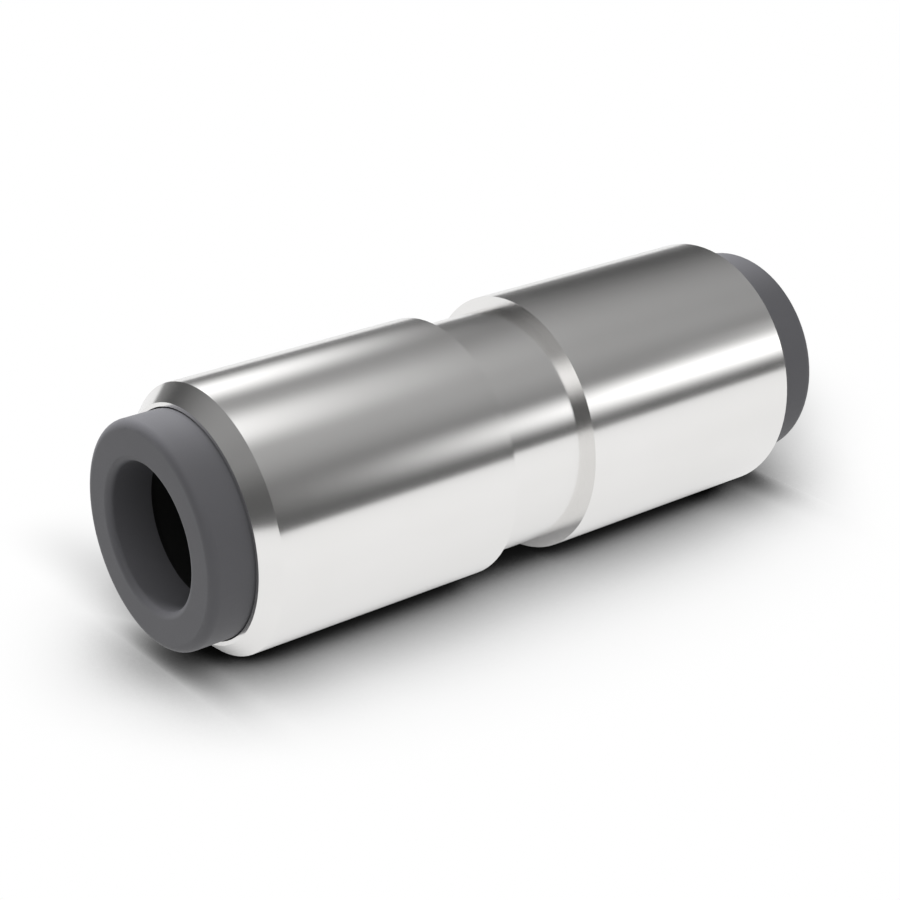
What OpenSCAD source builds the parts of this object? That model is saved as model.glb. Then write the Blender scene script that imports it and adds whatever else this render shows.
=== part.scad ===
// Straight push-fit connector for two tubes of one size, standing on its lower release collar.
// The turned body holds the same cartridge at each end: retainer, grip ring, spacer and seal.
// Each end is laid out inwards from the body's end face, and each radius outwards from the tube.
// Millimetres, Z up, origin on the lower collar's end face, axis along Z.

/* [Tube] */
// Outside diameter of the tube that pushes in
tube_d = 8.0; // [6:0.5:12]
// Radial clearance round the tube in the collar and in the socket
tube_gap = 0.04; // [0.02:0.01:0.1]

/* [Release collar] */
// How far the collar stands out of the body at rest
collar_exposed = 2.52; // [1.8:0.02:4]
// How far the collar's head reaches into the body's mouth at rest
head_sink = 1.0; // [0.6:0.1:2]
// How far the collar can be pushed in
collar_travel = 1.3; // [1:0.1:1.6]
// Clearance left under the head when the collar is pushed right in
travel_gap = 0.1; // [0.05:0.05:0.3]
// Length of the collar's guiding bore, from its end face
guide_len = 2.66; // [2:0.02:3]
// Radial step behind the guiding bore
bore_relief = 0.35; // [0.1:0.05:0.5]
// Wall of the slotted skirt
skirt_wall = 0.7; // [0.5:0.05:0.9]
// Height of the snap barbs over the skirt
barb_height = 0.45; // [0.3:0.05:0.6]
// Length of the snap barbs along the skirt
barb_len = 1.2; // [0.8:0.1:2]
// Length of the barbs' flat crest, before their ramp
barb_flat = 0.4; // [0.2:0.1:0.7]
// Length of the skirt from the barbs to the nose that opens the grip ring
nose_len = 2.6; // [2:0.1:4]
// Wall left at the tip of the nose
nose_tip_wall = 0.3; // [0.2:0.05:0.4]
// Length of the taper on the nose
nose_taper_len = 0.8; // [0.4:0.1:1.2]
// Number of slots that make the skirt springy
skirt_slots = 4; // [3:1:6]
// Width of each slot
skirt_slot_w = 1.1; // [0.8:0.1:1.6]
// Solid length left between the head and the slots
slot_root = 0.3; // [0.1:0.1:1]
// Clearance between the collar's head and the body's mouth
head_gap = 0.05; // [0.04:0.01:0.1]
// Rounding of the collar's outer edge
collar_edge_r = 0.5; // [0.2:0.02:0.8]
// Rounding at the mouth of the collar's bore
collar_mouth_r = 0.38; // [0.2:0.02:0.8]

/* [Retainer] */
// Sheet thickness of the pressed retainer
retainer_sheet = 0.5; // [0.3:0.05:0.6]
// Clearance between the barbs and the inside of the retainer
barb_gap = 0.26; // [0.12:0.01:0.4]
// Clearance between the skirt and the retainer's lip
lip_gap = 0.1; // [0.08:0.02:0.16]
// Play between the barbs and the lip at rest
barb_play = 0.05; // [0.03:0.01:0.15]

/* [Grip ring] */
// Sheet thickness of the grip ring
grip_sheet = 0.25; // [0.2:0.05:0.35]
// How far the teeth bite inside the tube's outside
tooth_bite = 0.15; // [0.05:0.05:0.3]
// Clearance between the skirt and the bend that the teeth start from
hinge_gap = 0.26; // [0.2:0.02:0.36]
// Slope of the teeth to the flange
tooth_angle = 40; // [30:1:48]
// Number of teeth
tooth_count = 12; // [8:1:16]
// Width of the slit between two teeth
slit_w = 0.5; // [0.3:0.05:0.6]

/* [Spacer] */
// Clearance round the teeth when they are pressed open
tooth_room = 0.1; // [0.05:0.05:0.2]
// Clearance under the teeth when they are pressed open
tooth_drop = 0.15; // [0.1:0.05:0.5]
// Thickness of the spacer's inner land
spacer_land = 0.6; // [0.4:0.1:1.2]
// Clearance round the tube in the spacer
spacer_gap = 0.08; // [0.05:0.01:0.15]

/* [Seal] */
// Radial depth of the seal chamber beyond the tube socket
chamber_depth = 1.2; // [1:0.1:1.4]
// Length of the seal along the axis
seal_len = 2.2; // [1.8:0.1:3.5]
// Free length left beside the seal
seal_play = 0.15; // [0.05:0.05:0.4]
// How far the seal's lips squeeze the tube
seal_squeeze = 0.15; // [0.05:0.05:0.3]
// Depth of the groove between the seal's two lips
seal_groove = 0.35; // [0.2:0.05:0.45]

/* [Body] */
// Wall round the mouth
body_wall = 1.13; // [0.95:0.01:2]
// Length of the tube socket below the seal
socket_len = 3.6; // [2:0.1:6]
// Length between the two tube stops
stop_web = 6.26; // [3:0.02:12]
// Ledge that stops the tube
stop_ledge = 0.94; // [0.6:0.05:1.4]
// Length of the chamfer at each end
chamfer_len = 0.94; // [0.4:0.02:1.6]
// Radial depth of the chamfer at each end
chamfer_depth = 0.88; // [0.4:0.01:0.9]
// Length of the waist between its two shoulders
waist_len = 5.62; // [3:0.02:9]
// Radial depth of the waist
waist_step = 0.71; // [0.3:0.01:1.1]
// Break of the mouth's inner edge
mouth_break = 0.03; // [0.02:0.01:0.06]
// Lead-in at the seal chamber, the socket and the tube stop
lead_in = 0.25; // [0.1:0.05:0.4]
// Radial clearance of the pieces that sit in the body
seat_gap = 0.03; // [0.02:0.01:0.05]

/* [Hidden] */
$fn = 96;
cut = 0.5;

// Radii, outwards from the tube
bore_r = tube_d / 2 + tube_gap;
relief_r = bore_r + bore_relief;
skirt_r = relief_r + skirt_wall;
barb_r = skirt_r + barb_height;
recess_r = barb_r + barb_gap;
mouth_r = recess_r + retainer_sheet + seat_gap;
head_r = mouth_r - head_gap;
body_r = mouth_r + body_wall;
lip_r = skirt_r + lip_gap;
tip_r = tube_d / 2 - tooth_bite;
hinge_r = skirt_r + hinge_gap;
tooth_reach = hinge_r - tip_r;
spacer_r = bore_r + spacer_gap;
chamber_r = bore_r + chamber_depth;
seal_r = tube_d / 2 - seal_squeeze;
flow_r = bore_r - stop_ledge;
face_r = body_r - chamfer_depth;
waist_r = body_r - waist_step;

// Heights, inwards from the body's end face
lip_z = head_sink + collar_travel + travel_gap;
barb_z = lip_z + retainer_sheet + barb_play;
nose_z = barb_z + barb_len + nose_len;
grip_z = nose_z;
spacer_z = grip_z + grip_sheet;
tooth_z = tooth_reach * tan(tooth_angle);
tooth_len = tooth_reach / cos(tooth_angle);
tooth_pit = tooth_len + tooth_drop;
chamber_z = spacer_z + tooth_pit + spacer_land;
socket_z = chamber_z + seal_len + seal_play;
stop_z = socket_z + socket_len;

body_len = 2 * stop_z + stop_web;
overall_len = body_len + 2 * collar_exposed;

// Seats a piece in the lower end, with its own Z pointing into the body
module in_lower_end() {
  translate([0, 0, collar_exposed])
    children();
}

// Seats the same piece in the upper end
module in_upper_end() {
  translate([0, 0, overall_len - collar_exposed])
    rotate([180, 0, 0])
      children();
}

// Outline of a plain ring between two radii and two heights
module ring_outline(r_in, r_out, z_low, z_high) {
  translate([r_in, z_low])
    square([r_out - r_in, z_high - z_low]);
}

// What rounding takes off an outer edge at the end that faces down
module outer_round(r, z, round_r) {
  difference() {
    translate([r - round_r, z - cut])
      square([round_r + cut, round_r + cut]);
    translate([r - round_r, z + round_r])
      circle(r = round_r);
  }
}

// What rounding takes off a bore's edge at the end that faces down
module inner_round(r, z, round_r) {
  difference() {
    translate([r - cut, z - cut])
      square([round_r + cut, round_r + cut]);
    translate([r + round_r, z + round_r])
      circle(r = round_r);
  }
}

// Half outline of the turned body, from its waist round the end face to the flow passage
function half_points() = [
  [waist_r, body_len / 2 - waist_len / 2],
  [body_r, body_len / 2 - waist_len / 2],
  [body_r, chamfer_len],
  [face_r, 0],
  [mouth_r + mouth_break, 0],
  [mouth_r, mouth_break],
  [mouth_r, chamber_z],
  [chamber_r + lead_in, chamber_z],
  [chamber_r, chamber_z + lead_in],
  [chamber_r, socket_z],
  [bore_r + lead_in, socket_z],
  [bore_r, socket_z + lead_in],
  [bore_r, stop_z],
  [flow_r + lead_in, stop_z],
  [flow_r, stop_z + lead_in]
];

// The same points for the other half, in the order that closes the outline
function flipped(points) = [
  for (i = [len(points) - 1 : -1 : 0])
    [points[i][0], body_len - points[i][1]]
];

module body() {
  color([0.78, 0.77, 0.74])
    translate([0, 0, collar_exposed])
      rotate_extrude()
        polygon(concat(half_points(), flipped(half_points())));
}

module collar_outline() {
  difference() {
    union() {
      ring_outline(bore_r, head_r, -collar_exposed, head_sink);
      ring_outline(relief_r, skirt_r, head_sink - cut, nose_z);
      polygon([
        [relief_r, barb_z],
        [barb_r, barb_z],
        [barb_r, barb_z + barb_flat],
        [skirt_r, barb_z + barb_len],
        [relief_r, barb_z + barb_len]
      ]);
    }
    ring_outline(bore_r - cut, relief_r, guide_len - collar_exposed, head_sink + cut);
    outer_round(head_r, -collar_exposed, collar_edge_r);
    inner_round(bore_r, -collar_exposed, collar_mouth_r);
    polygon([
      [skirt_r, nose_z - nose_taper_len],
      [relief_r + nose_tip_wall, nose_z],
      [relief_r + nose_tip_wall, nose_z + cut],
      [skirt_r + cut, nose_z + cut],
      [skirt_r + cut, nose_z - nose_taper_len]
    ]);
  }
}

module collar() {
  slot_z = head_sink + slot_root;
  color([0.2, 0.2, 0.21])
    difference() {
      rotate_extrude()
        collar_outline();
      for (i = [0 : skirt_slots - 1])
        rotate([0, 0, i * 360 / skirt_slots])
          translate([0, -skirt_slot_w / 2, slot_z])
            cube([barb_r + cut, skirt_slot_w, nose_z - slot_z + cut]);
    }
}

module retainer() {
  color([0.72, 0.58, 0.32])
    rotate_extrude()
      difference() {
        ring_outline(lip_r, mouth_r - seat_gap, lip_z, grip_z);
        ring_outline(lip_r - cut, recess_r, lip_z + retainer_sheet, grip_z + cut);
        outer_round(mouth_r - seat_gap, lip_z, retainer_sheet);
      }
}

module grip_ring() {
  color([0.8, 0.8, 0.82])
    difference() {
      rotate_extrude()
        polygon([
          [mouth_r - seat_gap, grip_z],
          [mouth_r - seat_gap, grip_z + grip_sheet],
          [hinge_r, grip_z + grip_sheet],
          [tip_r, grip_z + grip_sheet + tooth_z],
          [tip_r, grip_z + tooth_z],
          [hinge_r, grip_z]
        ]);
      for (i = [0 : tooth_count - 1])
        rotate([0, 0, i * 360 / tooth_count])
          translate([0, -slit_w / 2, grip_z + grip_sheet / 2])
            cube([hinge_r - grip_sheet, slit_w, tooth_z + grip_sheet + cut]);
    }
}

module spacer() {
  pit_r = hinge_r + tooth_room;
  color([0.15, 0.15, 0.16])
    rotate_extrude()
      polygon([
        [mouth_r - seat_gap, spacer_z],
        [pit_r, spacer_z],
        [pit_r, spacer_z + tooth_pit - lead_in],
        [pit_r - lead_in, spacer_z + tooth_pit],
        [spacer_r + lead_in, spacer_z + tooth_pit],
        [spacer_r, spacer_z + tooth_pit + lead_in],
        [spacer_r, chamber_z],
        [mouth_r - seat_gap, chamber_z]
      ]);
}

// Two rounded lips on a solid rubber back
module seal() {
  lip_len = seal_len / 2;
  lip_round = lip_len / 2;
  color([0.08, 0.08, 0.08])
    rotate_extrude()
      union() {
        ring_outline(seal_r + seal_groove, chamber_r - seat_gap, chamber_z, chamber_z + seal_len);
        for (i = [0, 1])
          intersection() {
            translate([seal_r + lip_round, chamber_z + lip_round + i * lip_len])
              circle(r = lip_round);
            ring_outline(seal_r, chamber_r - seat_gap, chamber_z, chamber_z + seal_len);
          }
      }
}

body();
in_upper_end() collar();  // collar_upper
in_lower_end() collar();  // collar_lower
in_upper_end() retainer();  // retainer_upper
in_lower_end() retainer();  // retainer_lower
in_upper_end() grip_ring();  // grip_ring_upper
in_lower_end() grip_ring();  // grip_ring_lower
in_upper_end() spacer();  // spacer_upper
in_lower_end() spacer();  // spacer_lower
in_upper_end() seal();  // seal_upper
in_lower_end() seal();  // seal_lower
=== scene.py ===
import math

import bmesh
import bpy
from mathutils import Matrix, Vector


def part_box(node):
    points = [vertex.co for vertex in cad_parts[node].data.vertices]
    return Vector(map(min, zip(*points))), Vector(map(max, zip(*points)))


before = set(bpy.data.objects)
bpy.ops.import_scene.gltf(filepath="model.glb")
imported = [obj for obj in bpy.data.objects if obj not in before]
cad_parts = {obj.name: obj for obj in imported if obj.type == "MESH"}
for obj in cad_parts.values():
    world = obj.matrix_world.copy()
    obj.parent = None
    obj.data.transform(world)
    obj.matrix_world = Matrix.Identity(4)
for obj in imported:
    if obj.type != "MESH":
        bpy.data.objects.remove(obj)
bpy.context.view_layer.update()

MM = 0.001
BODY_R = 7.46 * MM  # the unit of the lying frame, which the camera was fitted in
BODY_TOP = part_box("body")[1].z  # the end face that is near in the photograph
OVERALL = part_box("collar_upper")[1].z

# The photograph shows the connector lying down. The lying frame has X along the axis, away from
# the near end face, and Z up. Its up is turned to this azimuth of the row frame, about +Z from +X.
UP_AZIMUTH = math.radians(100)
LYING = Matrix((
    (0, -math.sin(UP_AZIMUTH), math.cos(UP_AZIMUTH)),
    (0, math.cos(UP_AZIMUTH), math.sin(UP_AZIMUTH)),
    (-1, 0, 0),
))
ROW_FLOOR_X = BODY_TOP / BODY_R  # where the floor that the object stands on crosses that X


def lying_point(x, y, z):
    """A point of the lying frame, in body radii, as a point of the row frame."""
    return LYING @ (Vector((x, y, z)) * BODY_R) + Vector((0, 0, BODY_TOP))


def add_to_scene(name, data):
    obj = bpy.data.objects.new(name, data)
    bpy.context.scene.collection.objects.link(obj)
    return obj


# Camera, fitted to the object's edges in the photograph

IMAGE_PX = 900
FOCAL_PX = 2139.2
SENSOR_MM = 36
CLIP = (0.01, 10)
PITCH = math.radians(24.313)
YAW = math.radians(52.094)
EYE = (-6.7892, -11.6826, 6.6223)


def make_camera():
    data = bpy.data.cameras.new("camera")
    data.sensor_width = SENSOR_MM
    data.lens = FOCAL_PX * SENSOR_MM / IMAGE_PX
    data.clip_start, data.clip_end = CLIP
    cam = add_to_scene("camera", data)
    level = Vector((math.cos(YAW), math.sin(YAW), 0))
    forward = math.cos(PITCH) * level - Vector((0, 0, math.sin(PITCH)))
    right = forward.cross(Vector((0, 0, 1))).normalized()
    up = right.cross(forward)
    turn = LYING @ Matrix((right, up, -forward)).transposed()
    cam.matrix_world = Matrix.Translation(lying_point(*EYE)) @ turn.to_4x4()
    bpy.context.scene.camera = cam


# Node helpers

BLACK = (0, 0, 0, 1)
WHITE = (1, 1, 1, 1)


class Graph:
    """Short names for the nodes that the materials and the world use."""

    def __init__(self, tree):
        self.tree = tree
        tree.nodes.clear()

    def node(self, kind, inputs=None, **settings):
        """A node with its settings and its inputs, each of which is a value or another output."""
        n = self.tree.nodes.new(kind)
        for key, value in settings.items():
            setattr(n, key, value)
        for key, value in (inputs or {}).items():
            if isinstance(value, bpy.types.NodeSocket):
                self.tree.links.new(value, n.inputs[key])
            else:
                n.inputs[key].default_value = value
        return n

    def math(self, operation, *values):
        n = self.node("ShaderNodeMath", dict(enumerate(values)), operation=operation)
        return n.outputs[0]

    def fold(self, operation, first, *others):
        """One operation on any number of values, from left to right."""
        for value in others:
            first = self.math(operation, first, value)
        return first

    def add(self, *values):
        return self.fold("ADD", *values)

    def product(self, *values):
        return self.fold("MULTIPLY", *values)

    def largest(self, *values):
        return self.fold("MAXIMUM", *values)

    def rest(self, share):
        """What is left of 1."""
        return self.math("SUBTRACT", 1.0, share)

    def distance(self, a, b):
        return self.math("ABSOLUTE", self.math("SUBTRACT", a, b))

    def above(self, value, limit):
        """1 where the value is above the limit, and 0 elsewhere."""
        return self.math("GREATER_THAN", value, limit)

    def below(self, value, limit):
        return self.math("LESS_THAN", value, limit)

    def map_range(self, value, low, high, start, end, kind):
        n = self.node(
            "ShaderNodeMapRange",
            {"Value": value, "From Min": low, "From Max": high, "To Min": start, "To Max": end},
            interpolation_type=kind,
        )
        return n.outputs[0]

    def ramp(self, value, low, high, start=0.0, end=1.0):
        """A soft step from one pair of values to the other, held at both ends."""
        return self.map_range(value, low, high, start, end, "SMOOTHSTEP")

    def grade(self, value, low, high, start, end):
        """A straight line from one pair of values to the other, held at both ends."""
        return self.map_range(value, low, high, start, end, "LINEAR")

    def vector(self, operation, a, b=None):
        """Vector maths; what SCALE multiplies by is a number."""
        inputs = {0: a}
        if b is not None:
            inputs["Scale" if operation == "SCALE" else 1] = b
        return self.node("ShaderNodeVectorMath", inputs, operation=operation).outputs[0]

    def dot(self, a, b):
        n = self.node("ShaderNodeVectorMath", {0: a, 1: b}, operation="DOT_PRODUCT")
        return n.outputs["Value"]

    def mix(self, factor, a, b):
        """A mix of two colours."""
        n = self.node("ShaderNodeMix", {0: factor, 6: a, 7: b}, data_type="RGBA")
        return n.outputs[2]

    def either(self, choice, no, yes):
        """One of two shaders."""
        return self.node("ShaderNodeMixShader", {0: choice, 1: no, 2: yes}).outputs[0]

    def noise(self, place, size, detail=2.0, rough=0.5):
        inputs = {"Vector": place, "Scale": 1 / size, "Detail": detail, "Roughness": rough}
        return self.node("ShaderNodeTexNoise", inputs).outputs["Fac"]

    def object_place(self):
        """A place in the object's own frame, and its three coordinates."""
        place = self.node("ShaderNodeTexCoord").outputs["Object"]
        split = self.node("ShaderNodeSeparateXYZ", {0: place})
        return place, [split.outputs[i] for i in range(3)]

    def is_seen_by(self, ray):
        """1 where a ray of this kind arrives, such as Camera or Glossy."""
        return self.node("ShaderNodeLightPath").outputs["Is %s Ray" % ray]


# World. Places on it are given by their part along the lying frame's axis and by their ring angle
# round it, which is 0 at the far side's horizon, 90 overhead and 180 at the near side's horizon.

GROUND_LEVEL = 0.45
HORIZON = (-0.01, 0.01)
# The sky's level rises from one to the other between these two heights
SKY_RISE = (0.30, 1.0)
SKY_LEVELS = (0.09, 0.43)
# Soft boxes: ring angle in degrees with the half widths where the light starts to fall and ends,
# the two soft edges along the axis, and the level
SOFT_BOXES = (
    ((155, 0, 18), (0.505, 0.66), (0.93, 0.98), 1.75),
    ((33, 1, 24.5), (0.00, 0.10), (0.48, 0.58), 1.30),
    ((87.5, 3, 24), (-0.50, -0.40), (0.43, 0.57), 1.00),
    ((126, 2, 28), (-0.80, -0.72), (-0.50, -0.40), 0.95),
    ((0, 3, 20), (-0.40, 0.00), (0.95, 1.00), 0.12),
    ((138, 0, 12), (0.64, 0.70), (0.95, 1.00), 0.45),
    ((121, 3, 24), (0.35, 0.50), (0.95, 1.00), 0.055),
)


def make_world():
    world = bpy.data.worlds.new("world")
    bpy.context.scene.world = world
    world.use_nodes = True
    g = Graph(world.node_tree)
    toward = g.node("ShaderNodeTexCoord").outputs["Generated"]
    along, side, up = (g.dot(toward, direction) for direction in LYING.col)
    ring = g.math("ARCTAN2", up, side)
    level = g.ramp(up, *SKY_RISE, *SKY_LEVELS)
    for (angle, full, none), start, end, strength in SOFT_BOXES:
        off = g.distance(ring, math.radians(angle))
        across = g.ramp(off, math.radians(full), math.radians(none), strength, 0.0)
        box = g.product(across, g.ramp(along, *start), g.ramp(along, *end, 1.0, 0.0))
        level = g.add(level, box)
    sky = g.ramp(up, *HORIZON)
    ground = g.rest(sky)
    level = g.add(g.product(sky, level), g.product(ground, GROUND_LEVEL))
    studio = g.node("ShaderNodeBackground", {"Color": WHITE, "Strength": level}).outputs[0]
    plain = g.node("ShaderNodeBackground", {"Color": WHITE, "Strength": 1.0}).outputs[0]
    # The camera meets plain white all round, and metal and glass meet it below the horizon
    mirror = g.largest(g.is_seen_by("Glossy"), g.is_seen_by("Transmission"))
    shown = g.largest(g.is_seen_by("Camera"), g.product(mirror, ground))
    g.node("ShaderNodeOutputWorld", {"Surface": g.either(shown, studio, plain)})


# Lamps: name, ring angle in degrees and part along the axis as in the world, strength, and the
# angle in degrees that makes it soft
LAMPS = (
    ("key", 31, 0.0, 6.3, 25),
    ("fill", 120, -0.2, 0.8, 60),
)


def make_lamps():
    """Soft lamps for the matt pieces, one behind the object and one high on the camera's side."""
    for name, ring, along, strength, softness in LAMPS:
        data = bpy.data.lights.new(name, "SUN")
        data.energy = strength
        data.angle = math.radians(softness)
        lamp = add_to_scene(name, data)
        turn = math.radians(ring)
        toward = LYING @ Vector((along, math.cos(turn), math.sin(turn)))
        lamp.rotation_mode = "QUATERNION"
        lamp.rotation_quaternion = toward.to_track_quat("Z", "Y")
        lamp.visible_glossy = False


# Materials

NOISE = (0.3, 0.7)  # the range that noise mostly keeps to
NOISE_INNER = (0.35, 0.65)
NOISE_OUTER = (0.25, 0.75)


def material(name):
    m = bpy.data.materials.new(name)
    m.use_nodes = True
    return m, Graph(m.node_tree)


def principled(g, **inputs):
    """Ends a material with the plain surface shader; an input's spaces are written as _."""
    named = {key.replace("_", " "): value for key, value in inputs.items()}
    surface = g.node("ShaderNodeBsdfPrincipled", named)
    g.node("ShaderNodeOutputMaterial", {"Surface": surface.outputs[0]})


def dress(prefix, mat):
    """Gives one material to every piece whose name starts so."""
    for name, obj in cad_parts.items():
        if name.startswith(prefix):
            for i in range(len(obj.data.materials)):
                obj.data.materials[i] = mat


def turned(g):
    """A place on a turned surface, with its radius from the axis and its height."""
    place, (x, y, z) = g.object_place()
    radius = g.math("SQRT", g.add(g.product(x, x), g.product(y, y)))
    return place, radius, z


def turned_normal(g, place, radius):
    """The surface's direction without its part round the axis, so that no seam shows."""
    normal = g.node("ShaderNodeNewGeometry").outputs["Normal"]
    flat = g.vector("MULTIPLY", place, (1.0, 1.0, 0.0))
    outward = g.vector("SCALE", flat, g.math("DIVIDE", 1.0, radius))
    upright = g.vector("MULTIPLY", normal, (0.0, 0.0, 1.0))
    sideways = g.vector("SCALE", outward, g.dot(normal, outward))
    return g.vector("NORMALIZE", g.vector("ADD", upright, sideways))


def bump(g, height, depth, normal=None):
    """Relief of a given depth in metres."""
    inputs = {"Height": height, "Strength": 1.0, "Distance": depth}
    if normal is not None:
        inputs["Normal"] = normal
    return g.node("ShaderNodeBump", inputs).outputs[0]


def tool_marks(g, radius, z, pitch):
    """The fine rings that a turning tool leaves, along a bore or flank and across a face alike."""
    along = g.node("ShaderNodeCombineXYZ", {0: 0.0, 1: radius, 2: z}).outputs[0]
    return g.noise(along, pitch, detail=3.0, rough=0.6)


TURNING_PITCH = 0.12 * MM
TURNING_DEPTH = 0.00012 * MM
NICKEL_CLOUD = 6 * MM
NICKEL_ROUGH = (0.160, 0.178)
TURNING_ROUGH = (-0.006, 0.006)
NICKEL_DARK = (0.868, 0.860, 0.848, 1)
NICKEL_LIGHT = (0.882, 0.874, 0.864, 1)
NICKEL_THIN = (0.70, 0.66, 0.57, 1)
# Between these two radii the thick plating outside gives way to the thin inside the sockets
PLATING_EDGE = (6.36 * MM, 6.30 * MM)
THIN_ROUGHER = 0.2


def nickel():
    """Polished nickel over turned brass, thin and dull inside the sockets."""
    m, g = material("nickel_plate")
    place, radius, z = turned(g)
    marks = tool_marks(g, radius, z, TURNING_PITCH)
    cloud = g.noise(place, NICKEL_CLOUD, detail=3.0)
    inside = g.ramp(radius, *PLATING_EDGE)
    outer = g.mix(g.grade(cloud, *NOISE_INNER, 0, 1), NICKEL_DARK, NICKEL_LIGHT)
    polish = g.add(g.grade(cloud, *NOISE, *NICKEL_ROUGH), g.grade(marks, *NOISE, *TURNING_ROUGH))
    principled(
        g,
        Base_Color=g.mix(inside, outer, NICKEL_THIN),
        Metallic=1.0,
        Roughness=g.math("MULTIPLY_ADD", inside, THIN_ROUGHER, polish),
        Normal=bump(g, marks, TURNING_DEPTH, turned_normal(g, place, radius)),
    )
    return m


COLLAR_GRAIN = 0.11 * MM
COLLAR_GRAIN_DEPTH = 0.0035 * MM
COLLAR_CLOUD = 3.5 * MM
COLLAR_GREY = (0.128, 0.128, 0.138, 1)
CLOUD_SHADE = (0.96, 1.04)
GRAIN_SHADE = (0.97, 1.03)
COLLAR_ROUGH = (0.50, 0.60)
# Painted shade: the colour of the collar's bore past the guiding bore, where the body's inside is
# dark
COLLAR_PAINTED_SHADE = (0.012, 0.012, 0.012, 1)
GUIDE_LEN = 2.66 * MM  # how deep a collar's guiding bore reaches from its end face
PAINTED_SHADE_START = (GUIDE_LEN - 0.02 * MM, GUIDE_LEN + 0.05 * MM)
PAINTED_SHADE_RADIUS = (5.2 * MM, 5.0 * MM)


def collar_plastic():
    """Moulded grey plastic, with painted shade: near black past the guiding bore, where the body's
    inside is dark.
    """
    m, g = material("collar_plastic")
    place, radius, z = turned(g)
    grain = g.noise(place, COLLAR_GRAIN, detail=3.0, rough=0.6)
    cloud = g.noise(place, COLLAR_CLOUD)
    from_end = g.math("SUBTRACT", OVERALL / 2, g.distance(z, OVERALL / 2))
    # painted shade by place: past the guiding bore and inside this radius
    painted_shade = g.product(g.ramp(from_end, *PAINTED_SHADE_START), g.ramp(radius, *PAINTED_SHADE_RADIUS))
    shade = g.product(g.grade(cloud, *NOISE, *CLOUD_SHADE), g.grade(grain, *NOISE, *GRAIN_SHADE))
    principled(
        g,
        Base_Color=g.mix(painted_shade, g.mix(shade, BLACK, COLLAR_GREY), COLLAR_PAINTED_SHADE),
        Roughness=g.grade(grain, *NOISE_OUTER, *COLLAR_ROUGH),
        Normal=bump(g, grain, COLLAR_GRAIN_DEPTH),
    )
    return m


SHEET_CLOUD = 2.2 * MM
SHEET_MARK_DEPTH = 0.0008 * MM
SHEET_MARK_ROUGH = (-0.04, 0.04)
DRAWN_PITCH = 0.09 * MM
ROLLED_LENGTH = 1.2 * MM
ROLLED_STRETCH = (1.0, 14.0, 1.0)


def sheet_metal(name, dark, light, rough, drawn):
    """Drawn or rolled sheet: soft clouds in its colour and fine marks that catch the light."""
    m, g = material(name)
    place, radius, z = turned(g)
    cloud = g.noise(place, SHEET_CLOUD, detail=3.0)
    if drawn:
        marks = tool_marks(g, radius, z, DRAWN_PITCH)
    else:
        rolled = g.vector("MULTIPLY", place, ROLLED_STRETCH)
        marks = g.noise(rolled, ROLLED_LENGTH, detail=4.0, rough=0.6)
    principled(
        g,
        Base_Color=g.mix(g.grade(cloud, *NOISE, 0, 1), dark, light),
        Metallic=1.0,
        Roughness=g.add(
            g.grade(cloud, *NOISE, *rough), g.grade(marks, *NOISE, *SHEET_MARK_ROUGH),
        ),
        Normal=bump(g, marks, SHEET_MARK_DEPTH),
    )
    return m


BLOOM_SIZE = 2.5 * MM
BLOOM_NOISE = (0.35, 0.7)


def soft_part(name, dark, light, rough, grain_size, relief):
    """Moulded plastic or rubber with a fine matt grain and a faint bloom."""
    m, g = material(name)
    place, _ = g.object_place()
    grain = g.noise(place, grain_size, detail=4.0, rough=0.6)
    bloom = g.noise(place, BLOOM_SIZE, detail=3.0)
    principled(
        g,
        Base_Color=g.mix(g.grade(bloom, *BLOOM_NOISE, 0, 1), dark, light),
        Roughness=g.grade(grain, *NOISE, *rough),
        Normal=bump(g, grain, relief),
    )
    return m


def dress_all():
    dress("body", nickel())
    dress("collar", collar_plastic())
    dress("retainer", sheet_metal(
        "retainer_brass", dark=(0.66, 0.50, 0.25, 1), light=(0.80, 0.64, 0.36, 1),
        rough=(0.24, 0.36), drawn=True,
    ))
    dress("grip", sheet_metal(
        "spring_steel", dark=(0.60, 0.60, 0.61, 1), light=(0.72, 0.72, 0.73, 1),
        rough=(0.22, 0.34), drawn=False,
    ))
    dress("spacer", soft_part(
        "spacer_plastic", dark=(0.028, 0.028, 0.030, 1), light=(0.040, 0.040, 0.042, 1),
        rough=(0.42, 0.58), grain_size=0.15 * MM, relief=0.004 * MM,
    ))
    dress("seal", soft_part(
        "seal_rubber", dark=(0.010, 0.010, 0.010, 1), light=(0.022, 0.022, 0.021, 1),
        rough=(0.55, 0.80), grain_size=0.08 * MM, relief=0.006 * MM,
    ))


# Stage. Both floors shine by themselves, with a painted shadow where they see little of the open
# sky.


def glow(g, strength):
    return g.node("ShaderNodeEmission", {"Color": WHITE, "Strength": strength}).outputs[0]


def open_sky(g, reach, samples):
    """The share of the sky that nothing within reach hides."""
    return g.node("ShaderNodeAmbientOcclusion", {"Distance": reach}, samples=samples).outputs["AO"]


def stage_plane(name, size, matrix, paint):
    """A large plane that shows its front side only and neither shades nor lights the object."""
    mesh = bpy.data.meshes.new(name)
    bm = bmesh.new()
    bmesh.ops.create_grid(bm, x_segments=1, y_segments=1, size=size)
    bm.to_mesh(mesh)
    bm.free()
    obj = add_to_scene(name, mesh)
    obj.matrix_world = matrix
    m, g = material(name)
    clear = g.node("ShaderNodeBsdfTransparent").outputs[0]
    back = g.node("ShaderNodeNewGeometry").outputs["Backfacing"]
    g.node("ShaderNodeOutputMaterial", {"Surface": g.either(back, paint(g), clear)})
    m.cycles.emission_sampling = "NONE"
    mesh.materials.append(m)
    obj.visible_diffuse = False
    obj.visible_shadow = False
    return obj


def place_in_radii(g):
    """The object's own coordinates, in body radii."""
    _, coordinates = g.object_place()
    return [g.math("DIVIDE", value, BODY_R) for value in coordinates]


# The photograph's floor, with a painted shadow: X runs along the object from its near end face and
# Y to its far side, both in body radii.

SKY_REACH = 0.2
FLOOR_SAMPLES = 48
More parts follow.
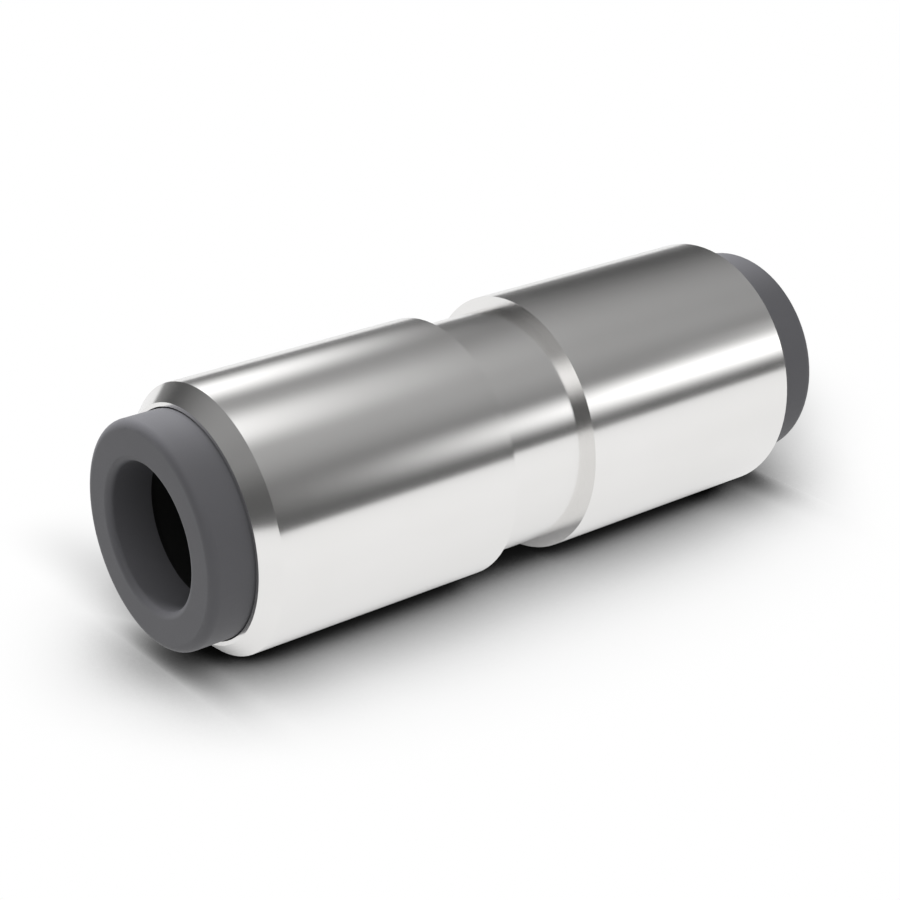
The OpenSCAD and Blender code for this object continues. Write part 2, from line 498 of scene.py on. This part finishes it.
# How bright the floor is where it sees a share of the open sky: (share, brightness)
FLOOR_TONE = (
    (0.0, 0.0), (0.13, 0.008), (0.16, 0.03), (0.20, 0.108), (0.265, 0.26), (0.33, 0.376),
    (0.39, 0.479), (0.4475, 0.578), (0.50, 0.665), (0.59, 0.815), (0.662, 0.896), (0.72, 0.947),
    (0.764, 0.973), (0.80, 0.985), (0.86, 1.0),
)
# Where the shadow is deeper than that: the two coordinates between which this grows, and the depth
# or the factor at the one and the other
NEAR_END = (0.0, -0.5, 0.0, 3.1)
NEAR_END_OUTWARD = (-0.3, -1.5, 1.0, 2.0)
NEAR_END_WIDE = (0.8, -0.4, 0.0, 0.34)
NEAR_END_WIDE_OUTWARD = (-0.3, -1.5, 1.0, 5.0)
FAR_END = (4.4, 5.5, 0.0, 1.4)
FAR_END_CLOSE = (4.98, 5.41, 0.0, 2.9)
FAR_SIDE = (0.6, 1.6, 0.0, 4.0)
CORNER_SIDE = (0.3, 0.9, 0.0, 1.5)
NEAR_SIDE = (-0.5, -2.0, 1.0, 1.75)
# The part of the length whose far side counts as the near end's corner
CORNER_ALONG = (0.1, 0.7, 1.0, 0.0)
# Where a painted shadow dims the floor as a whole: up to the line where the two floors meet, and
# behind the near end
MEETING_ALONG = (4.7, 5.36)
MEETING_ASIDE = (0.0, 1.15, 0.24, 0.0)
BEHIND_ALONG = (-0.4, 0.1)
BEHIND_NEAR_EDGE = (0.6, 1.2, 0.0, 0.22)
BEHIND_FAR_EDGE = (1.5, 2.8, 1.0, 0.0)
# Beyond these distances, from the object's middle and from its axis, there is no shadow to measure
OBJECT_MIDDLE = 2.5
SHADOW_REACH = 4.8
SHADOW_ASIDE = 3.0

# A mirror sees a paler and narrower painted shadow on a floor of this level
MIRRORED_FLOOR = 0.925
MIRRORED_SAMPLES = 20
MIRRORED_TONE = (
    (0.0, 0.22), (0.10, 0.27), (0.17, 0.58), (0.222, 0.78), (0.288, 0.875), (0.362, 0.902),
    (0.434, 0.915), (0.583, 0.94), (0.75, 0.965),
)
MIRRORED_ASIDE = 1.6
MIRRORED_EDGE = (1.6, 3.5, 0.965, 1.0)


def floor_tone(g, samples, stops):
    tone = g.node("ShaderNodeValToRGB", {"Fac": open_sky(g, SKY_REACH, samples)})
    elements = tone.color_ramp.elements
    for i, (share, bright) in enumerate(stops):
        stop = elements[i] if i < 2 else elements.new(share)
        stop.position = share
        stop.color = (bright, bright, bright, 1)
    return tone.outputs["Color"]


def shadow_depth(g, x, y):
    """The power that the floor's tone is raised to."""
    near_end = g.add(
        g.product(g.ramp(x, *NEAR_END), g.ramp(y, *NEAR_END_OUTWARD)),
        g.product(g.ramp(x, *NEAR_END_WIDE), g.ramp(y, *NEAR_END_WIDE_OUTWARD)),
    )
    far_end = g.add(g.ramp(x, *FAR_END), g.ramp(x, *FAR_END_CLOSE))
    corner = g.product(g.ramp(y, *CORNER_SIDE), g.ramp(x, *CORNER_ALONG))
    far_side = g.add(g.ramp(y, *FAR_SIDE), corner)
    return g.add(g.largest(near_end, far_end, far_side), g.ramp(y, *NEAR_SIDE))


def photo_floor(g):
    """The floor under the object as it lies in the photograph, glowing, with a painted shadow."""
    x, y, _ = place_in_radii(g)
    aside = g.math("ABSOLUTE", y)
    past_ends = g.above(g.distance(x, OBJECT_MIDDLE), SHADOW_REACH)

    # painted shadow by place: near where the two floors meet and behind the near end
    meeting = g.product(
        g.ramp(x, *MEETING_ALONG), g.below(x, ROW_FLOOR_X), g.ramp(aside, *MEETING_ASIDE),
    )
    behind = g.product(
        g.ramp(y, *BEHIND_NEAR_EDGE), g.ramp(y, *BEHIND_FAR_EDGE),
        g.ramp(x, *BEHIND_ALONG), g.ramp(x, *CORNER_ALONG),
    )
    tone = g.math("POWER", floor_tone(g, FLOOR_SAMPLES, FLOOR_TONE), shadow_depth(g, x, y))
    shaded = glow(g, g.product(tone, g.rest(meeting), g.rest(behind)))
    bright = g.largest(g.above(aside, SHADOW_ASIDE), past_ends)
    seen = g.either(bright, shaded, glow(g, 1.0))

    tone = floor_tone(g, MIRRORED_SAMPLES, MIRRORED_TONE)
    shaded = glow(g, g.product(tone, MIRRORED_FLOOR))
    edge = glow(g, g.product(g.ramp(aside, *MIRRORED_EDGE), MIRRORED_FLOOR))
    bright = g.largest(g.above(aside, MIRRORED_ASIDE), past_ends)
    mirrored = g.either(bright, shaded, edge)
    return g.either(g.is_seen_by("Glossy"), seen, mirrored)


# The floor that the object stands on, with lengths in body radii but for the sky's reach. Its two
# directions are the lying frame's down and that frame's Y.

ROW_SKY_REACH = 6 * MM
ROW_SAMPLES = 16
ROW_TONE = (0.2, 1.0, 0.55, 1.0)
ROW_SIDE = (-0.3, 0.9)
ROW_SHADOW_RADIUS = 1.9
# The floor is solid on the object's far side, and clear where the photograph's camera looks
# through it at the other floor
ROW_SOLID = -0.1


def row_floor(g):
    """A faint painted shadow on the side that lies down in the photograph."""
    x, y, _ = place_in_radii(g)
    cos, sin = math.cos(UP_AZIMUTH), math.sin(UP_AZIMUTH)
    down = g.math("MULTIPLY_ADD", x, -cos, g.product(y, -sin))
    aside = g.math("MULTIPLY_ADD", x, -sin, g.product(y, cos))
    tone = g.ramp(open_sky(g, ROW_SKY_REACH, ROW_SAMPLES), *ROW_TONE)
    light = g.rest(g.product(g.rest(tone), g.ramp(down, *ROW_SIDE)))
    clear = g.node("ShaderNodeBsdfTransparent").outputs[0]
    tinted = g.node("ShaderNodeBsdfTransparent", {"Color": light}).outputs[0]
    solid = g.above(aside, ROW_SOLID)
    away = g.add(g.product(x, x), g.product(y, y))
    far = g.largest(g.above(away, ROW_SHADOW_RADIUS ** 2), g.below(down, ROW_SIDE[0]))
    shaded = g.either(solid, tinted, glow(g, light))
    return g.either(far, shaded, g.either(solid, clear, glow(g, 1.0)))


ROW_FLOOR_SIZE = 0.6
PHOTO_FLOOR_SIZE = 0.25


def make_stage():
    floor = stage_plane("floor", ROW_FLOOR_SIZE, Matrix.Identity(4), row_floor)
    floor.visible_glossy = False
    under = Matrix.Translation(lying_point(0, 0, -1.0)) @ LYING.to_4x4()
    stage_plane("photo_floor", PHOTO_FLOOR_SIZE, under, photo_floor)


bpy.context.scene.view_settings.view_transform = "Standard"
make_camera()
make_world()
make_lamps()
dress_all()
make_stage()
